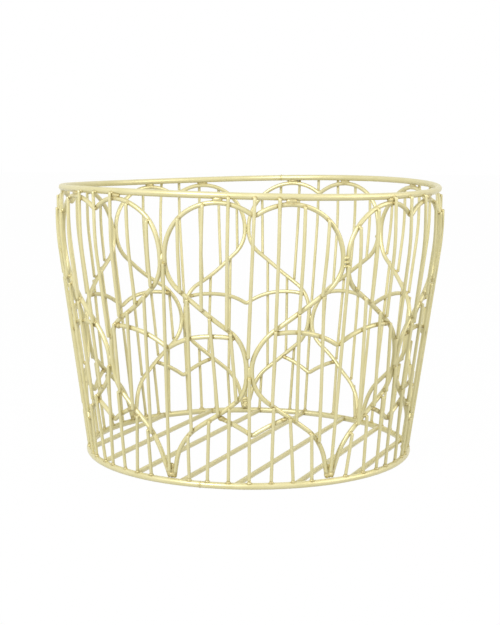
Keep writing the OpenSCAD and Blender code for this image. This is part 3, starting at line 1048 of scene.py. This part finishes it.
class BASKET_OT_heart_wires(bpy.types.Operator):
    """Draw the heart wires"""

    bl_idname = "basket.heart_wires"
    bl_label = "Heart wires"

    def execute(self, context):
        wall = Wall(context.scene)
        course = both_halves(Courses(context.scene, wall).heart)
        for i in range(HEARTS):
            wall_piece(context, wall, f"heart_wire_{i + 1}", f"heart_{i + 1}", course, i * HEART_PITCH)
        return {"FINISHED"}


class BASKET_OT_arches(bpy.types.Operator):
    """Draw the middle and lower arches"""

    bl_idname = "basket.arches"
    bl_label = "Arches"

    def execute(self, context):
        wall = Wall(context.scene)
        for node, course in Courses(context.scene, wall).arches.items():
            row, number = node.rsplit("_", 1)
            ahead = 0.5 if row == "middle_arch" else 0.0
            centre = (int(number) - 1 + ahead) * HEART_PITCH
            wall_piece(context, wall, f"{row}_wire_{number}", node, course, centre)
        return {"FINISHED"}


class BASKET_OT_bars(bpy.types.Operator):
    """Draw the upright bars of every heart"""

    bl_idname = "basket.bars"
    bl_label = "Bars"

    def execute(self, context):
        scene = context.scene
        wall = Wall(scene)
        wires = scene.basket_wires
        for node, bars in every_bar(scene, wall, Courses(scene, wall)).items():
            mesh = bmesh.new()
            for bar in bars:
                low, high = bar.heights()
                steps = math.ceil((high - low) / LONG_STEP)
                heights = [low + (high - low) * i / steps for i in range(steps + 1)]
                points = [bar.at(z, wall.bar_offset) for z in heights]
                wire_along(mesh, points, wires.bar_wire / 2, wires.sides - BAR_FEWER_SIDES)
            row, number = node.rsplit("_", 1)
            finish_piece(context, f"{row}_wire_{number}", mesh, [node])
        return {"FINISHED"}


class BASKET_OT_base_wires(bpy.types.Operator):
    """Draw the wires that cross the base"""

    bl_idname = "basket.base_wires"
    bl_label = "Base wires"

    def execute(self, context):
        sides = context.scene.basket_wires.sides
        for i, (low, high) in enumerate(base_wire_ends()):
            mesh = bmesh.new()
            points = [low.lerp(high, s / CROSS_STEPS) for s in range(CROSS_STEPS + 1)]
            outs = [Vector((0, 0, 1))] * len(points)
            draw_wire(mesh, stations(points, outs, BASE_WIRE / 2), sides)
            finish_piece(context, f"cross_wire_{i + 1}", mesh, [f"base_wire_{i + 1}"])
        return {"FINISHED"}


# How finely small and large beads are divided, and how much larger than a bar's foot weld is large
SMALL_ROUNDS = 2
LARGE_ROUNDS = 3
LARGE_SHARE = 1.1


class BASKET_OT_welds(bpy.types.Operator):
    """Draw the weld beads"""

    bl_idname = "basket.welds"
    bl_label = "Welds"

    def execute(self, context):
        welds = every_weld(context.scene)
        unevenness = context.scene.basket_welds.unevenness
        large = max(context.scene.basket_welds.bar_foot_weld) * LARGE_SHARE
        for part, slot in (("rim", "ring_wire"), ("wall", "heart_wire"), ("foot", "base_wire")):
            mesh = bmesh.new()
            for weld in welds:
                if weld.part == part:
                    rounds = LARGE_ROUNDS if max(weld.size) > large else SMALL_ROUNDS
                    draw_bead(mesh, weld, unevenness, rounds)
            finish_piece(context, f"{part}_welds", mesh, [])
        return {"FINISHED"}


WHITE = (1.0, 1.0, 1.0, 1.0)

# The floor's grey in the light that it returns, its roughness and its gloss
FLOOR_TONE = 0.5
FLOOR_ROUGHNESS = 0.9
FLOOR_GLOSS = 0.1

# Farthest place that the camera sees, in metres
CAMERA_REACH = 20.0


class BASKET_OT_stage(bpy.types.Operator):
    """Set the floor, the light and the camera"""

    bl_idname = "basket.stage"
    bl_label = "Stage"

    def execute(self, context):
        look = context.scene.basket_stage
        self.world(context, look)
        self.floor(context, look)
        self.lamp(context, "key_lamp", look.key_place, look.key_size, look.key_power)
        fill = self.lamp(context, "fill_lamp", look.fill_place, look.fill_size, look.fill_power)
        fill.color = look.fill_tint
        self.camera(context, look)
        context.scene.view_settings.view_transform = "Standard"
        return {"FINISHED"}

    def white_rays(self, chain):
        """1 for rays that see the background: from the camera, in gloss and through glass."""
        path = chain.add("ShaderNodeLightPath").outputs
        seen = path["Is Camera Ray"]
        for name in ("Is Glossy Ray", "Is Transmission Ray"):
            most = chain.add("ShaderNodeMath", {0: seen, 1: path[name]}, operation="MAXIMUM")
            seen = most.outputs[0]
        return seen

    def world(self, context, look):
        world = bpy.data.worlds.new("studio")
        context.scene.world = world
        world.use_nodes = True
        chain = NodeChain(world.node_tree)
        light = world.node_tree.nodes["Background"].inputs
        strength = chain.map_range(self.white_rays(chain), to_min=look.ambient, to_max=1.0)
        chain.feed(light["Color"], WHITE)
        chain.feed(light["Strength"], strength)

    def floor(self, context, look):
        mesh = bmesh.new()
        bmesh.ops.create_grid(mesh, x_segments=1, y_segments=1, size=look.floor_half)
        bmesh.ops.translate(mesh, vec=(0.0, 0.0, -look.floor_drop), verts=mesh.verts)
        data = bpy.data.meshes.new("floor")
        mesh.to_mesh(data)
        mesh.free()
        floor = bpy.data.objects.new("floor", data)
        context.scene.collection.objects.link(floor)
        data.materials.append(self.floor_material(look))

    def floor_material(self, look):
        """White where the camera sees it, and half as bright for the light that it returns."""
        material, nodes, chain = new_material("white_floor")
        plain = nodes["Principled BSDF"]
        seen = self.white_rays(chain)
        chain.feed(plain.inputs["Base Color"], chain.map_range(seen, to_min=FLOOR_TONE, to_max=1.0))
        chain.feed(plain.inputs["Roughness"], FLOOR_ROUGHNESS)
        chain.feed(plain.inputs["Specular IOR Level"], FLOOR_GLOSS)
        white = chain.add("ShaderNodeEmission", {"Color": WHITE, "Strength": 1.0}).outputs[0]
        share = chain.add("ShaderNodeMath", {0: seen, 1: look.floor_glow}, operation="MULTIPLY").outputs[0]
        mix = chain.add("ShaderNodeMixShader", {0: share, 1: plain.outputs["BSDF"], 2: white})
        chain.feed(nodes["Material Output"].inputs["Surface"], mix.outputs["Shader"])
        return material

    def lamp(self, context, name, place, size, power):
        data = bpy.data.lights.new(name, "AREA")
        data.energy = power
        data.size = size
        lamp = bpy.data.objects.new(name, data)
        lamp.location = place
        aim = Vector((0.0, 0.0, RIM_Z / 2)) - Vector(place)
        lamp.rotation_euler = aim.to_track_quat("-Z", "Y").to_euler()
        context.scene.collection.objects.link(lamp)
        return data

    def camera(self, context, look):
        data = bpy.data.cameras.new("camera")
        data.lens = look.lens
        data.shift_x = look.shift_x
        data.clip_end = CAMERA_REACH
        camera = bpy.data.objects.new("camera", data)
        turn = Matrix.Rotation(look.camera_turn, 4, "Z")
        pitch = Matrix.Rotation(math.pi / 2 - look.camera_pitch, 4, "X")
        roll = Matrix.Rotation(look.camera_roll, 4, "Z")
        camera.matrix_world = Matrix.Translation(look.camera_place) @ turn @ pitch @ roll
        context.scene.collection.objects.link(camera)
        context.scene.camera = camera


OPERATORS = (
    BASKET_OT_paint,
    BASKET_OT_rings,
    BASKET_OT_heart_wires,
    BASKET_OT_arches,
    BASKET_OT_bars,
    BASKET_OT_base_wires,
    BASKET_OT_welds,
    BASKET_OT_stage,
)


class BASKET_PT_panel(bpy.types.Panel):
    """Lists the sizes and the operators"""

    bl_idname = "BASKET_PT_panel"
    bl_label = "Wire basket"
    bl_space_type = "VIEW_3D"
    bl_region_type = "UI"
    bl_category = "Basket"

    def draw(self, context):
        for name in GROUPS:
            box = self.layout.box()
            group = getattr(context.scene, name)
            for key in group.bl_rna.properties.keys():
                if key not in ("rna_type", "name"):
                    box.prop(group, key)
        for operator in OPERATORS:
            self.layout.operator(operator.bl_idname)


def register():
    for name, group in GROUPS.items():
        bpy.utils.register_class(group)
        setattr(bpy.types.Scene, name, PointerProperty(type=group))
    for operator in OPERATORS:
        bpy.utils.register_class(operator)
    bpy.utils.register_class(BASKET_PT_panel)


def unregister():
    bpy.utils.unregister_class(BASKET_PT_panel)
    for operator in reversed(OPERATORS):
        bpy.utils.unregister_class(operator)
    for name, group in reversed(list(GROUPS.items())):
        delattr(bpy.types.Scene, name)
        bpy.utils.unregister_class(group)


def main():
    register()
    bpy.ops.basket.paint()
    bpy.ops.basket.rings()
    bpy.ops.basket.heart_wires()
    bpy.ops.basket.arches()
    bpy.ops.basket.bars()
    bpy.ops.basket.base_wires()
    bpy.ops.basket.welds()
    bpy.ops.basket.stage()


if __name__ == "__main__":
    main()
